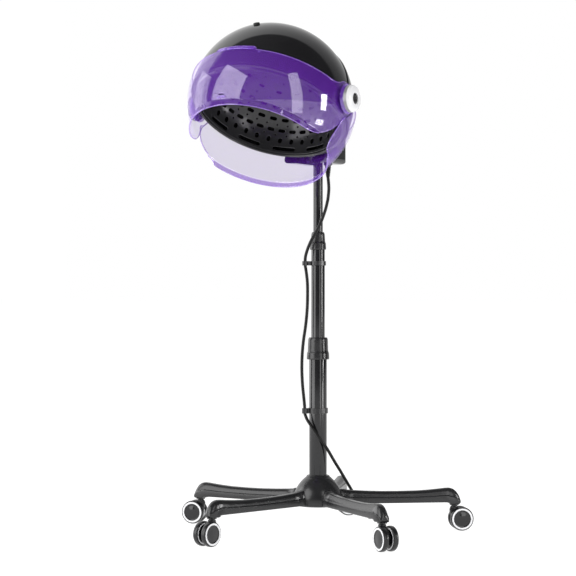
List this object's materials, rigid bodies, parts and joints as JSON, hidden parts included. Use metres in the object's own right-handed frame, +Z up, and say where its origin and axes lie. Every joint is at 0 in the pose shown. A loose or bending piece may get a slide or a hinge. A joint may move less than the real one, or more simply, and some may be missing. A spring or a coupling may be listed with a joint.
{
  "type": "hood hair dryer",
  "caption": "Floor-standing hood hair dryer: black dome with clear purple flip-up visor and neck shroud, on a telescopic mast with a star base and casters.",
  "frame": {"origin": "floor, at the middle of the footprint measured without the cord", "axes": "+Z up the mast, -Y the way the hood faces, +X to the hood's left as its wearer sits"},
  "size_m": [0.607, 0.843, 1.0432],
  "materials": {
    "gloss_black": "gloss",
    "clear_purple": "clear gloss, tinted",
    "liner_plastic": "satin",
    "white_plastic": "gloss",
    "gloss_tube": "gloss powder coat",
    "satin_plastic": "satin",
    "leg_plastic": "satin moulded",
    "wheel": "gloss disc, satin tread, grey ring",
    "rubber": "matte",
    "cord_rubber": "satin PVC",
    "grey_plastic": "satin",
    "steel": "brushed",
    "mica": "matte board"
  },
  "bodies": {
    "base": {"base_hub": "leg_plastic", "leg_1": "leg_plastic", "leg_2": "leg_plastic", "leg_3": "leg_plastic", "leg_4": "leg_plastic", "leg_5": "leg_plastic", "lower_tube": "gloss_tube", "lower_bush": "grey_plastic", "lower_cord_clip": "satin_plastic", "mains_cord_lower": "cord_rubber", "cord_coil": "cord_rubber", "mains_plug": "cord_rubber"},
    "lower_collar": {"lower_collar": "satin_plastic"},
    "middle_stage": {"middle_tube": "gloss_tube", "upper_bush": "grey_plastic", "upper_cord_clip": "satin_plastic", "mains_cord_middle": "cord_rubber"},
    "upper_collar": {"upper_collar": "satin_plastic"},
    "upper_stage": {"upper_tube": "gloss_tube", "tilt_block": "satin_plastic", "tilt_pin": "steel", "mains_cord_upper": "cord_rubber"},
    "head": {"rear_housing": "gloss_black", "rear_cover": "satin_plastic", "timer_switch": "grey_plastic", "heat_switch": "grey_plastic", "cord_relief": "cord_rubber", "mains_cord_head": "cord_rubber", "front_dome": "gloss_black", "rear_dome": "gloss_black", "neck_shroud": "clear_purple", "perforated_liner": "liner_plastic", "plenum_ring": "liner_plastic", "crown_pad": "rubber", "fan_deck": "grey_plastic", "fan_motor": "steel", "heater_ring": "mica", "thermal_cutout": "steel"},
    "visor": {"visor": "clear_purple", "right_pivot_knob": "white_plastic", "left_pivot_knob": "white_plastic"},
    "fan": {"fan_impeller": "grey_plastic"},
    "timer_dial": {"timer_dial": "satin_plastic"},
    "heat_dial": {"heat_dial": "satin_plastic"},
    "caster_1": {"caster_1_fork": "satin_plastic"},
    "wheels_1": {"caster_1_left_wheel": "wheel", "caster_1_right_wheel": "wheel"},
    "caster_2": {"caster_2_fork": "satin_plastic"},
    "wheels_2": {"caster_2_left_wheel": "wheel", "caster_2_right_wheel": "wheel"},
    "caster_3": {"caster_3_fork": "satin_plastic"},
    "wheels_3": {"caster_3_left_wheel": "wheel", "caster_3_right_wheel": "wheel"},
    "caster_4": {"caster_4_fork": "satin_plastic"},
    "wheels_4": {"caster_4_left_wheel": "wheel", "caster_4_right_wheel": "wheel"},
    "caster_5": {"caster_5_fork": "satin_plastic"},
    "wheels_5": {"caster_5_left_wheel": "wheel", "caster_5_right_wheel": "wheel"}
  },
  "joints": [
    {"name": "lower_collar_twist", "type": "hinge", "parent": "base", "child": "lower_collar", "pos_m": [0.02752, 0.0278, 0.386], "axis": [0, 0, 1], "range_deg": [0, 60]},
    {"name": "middle_slide", "type": "slide", "parent": "base", "child": "middle_stage", "axis": [0, 0, 1], "range_m": [-0.08, 0.12], "deforming": ["mains_cord_middle"]},
    {"name": "upper_collar_twist", "type": "hinge", "parent": "middle_stage", "child": "upper_collar", "pos_m": [0.02752, 0.0278, 0.611], "axis": [0, 0, 1], "range_deg": [0, 60]},
    {"name": "upper_slide", "type": "slide", "parent": "middle_stage", "child": "upper_stage", "axis": [0, 0, 1], "range_m": [-0.1, 0.15], "deforming": ["mains_cord_upper"]},
    {"name": "hood_tilt", "type": "hinge", "parent": "upper_stage", "child": "head", "pos_m": [0.02752, 0.0278, 0.8], "axis": [1, 0, 0], "range_deg": [-15, 30], "deforming": ["mains_cord_head"]},
    {"name": "visor_lift", "type": "hinge", "parent": "head", "child": "visor", "pos_m": [0.02752, -0.1642, 0.883], "axis": [-1, 0, 0], "range_deg": [0, 75]},
    {"name": "fan_spin", "type": "hinge", "parent": "head", "child": "fan", "pos_m": [0.02752, -0.1642, 0.883], "axis": [0, 0.5, 0.866], "continuous": true},
    {"name": "timer_turn", "type": "hinge", "parent": "head", "child": "timer_dial", "pos_m": [0.00752, 0.0758, 0.859], "axis": [0, -1, 0], "range_deg": [0, 300]},
    {"name": "heat_turn", "type": "hinge", "parent": "head", "child": "heat_dial", "pos_m": [0.04752, 0.0758, 0.859], "axis": [0, -1, 0], "range_deg": [0, 180]},
    {"name": "caster_1_swivel", "type": "hinge", "parent": "base", "child": "caster_1", "pos_m": [0.26144, 0.20089, 0.05], "axis": [0, 0, 1], "continuous": true},
    {"name": "caster_1_roll", "type": "hinge", "parent": "caster_1", "child": "wheels_1", "pos_m": [0.27247, 0.20951, 0.025], "axis": [-0.6157, 0.788, 0], "continuous": true},
    {"name": "caster_2_swivel", "type": "hinge", "parent": "base", "child": "caster_2", "pos_m": [-0.06482, 0.30376, 0.05], "axis": [0, 0, 1], "continuous": true},
    {"name": "caster_2_roll", "type": "hinge", "parent": "caster_2", "child": "wheels_2", "pos_m": [-0.0541, 0.31276, 0.025], "axis": [-0.6428, 0.766, 0], "continuous": true},
    {"name": "caster_3_swivel", "type": "hinge", "parent": "base", "child": "caster_3", "pos_m": [-0.26347, 0.02526, 0.05], "axis": [0, 0, 1], "continuous": true},
    {"name": "caster_3_roll", "type": "hinge", "parent": "caster_3", "child": "wheels_3", "pos_m": [-0.27726, 0.02283, 0.025], "axis": [0.1736, -0.9848, 0], "continuous": true},
    {"name": "caster_4_swivel", "type": "hinge", "parent": "base", "child": "caster_4", "pos_m": [-0.05999, -0.24973, 0.05], "axis": [0, 0, 1], "continuous": true},
    {"name": "caster_4_roll", "type": "hinge", "parent": "caster_4", "child": "wheels_4", "pos_m": [-0.06242, -0.26352, 0.025], "axis": [0.9848, -0.1736, 0], "continuous": true},
    {"name": "caster_5_swivel", "type": "hinge", "parent": "base", "child": "caster_5", "pos_m": [0.26443, -0.14118, 0.05], "axis": [0, 0, 1], "continuous": true},
    {"name": "caster_5_roll", "type": "hinge", "parent": "caster_5", "child": "wheels_5", "pos_m": [0.27604, -0.14901, 0.025], "axis": [0.5592, 0.829, 0], "continuous": true}
  ]
}
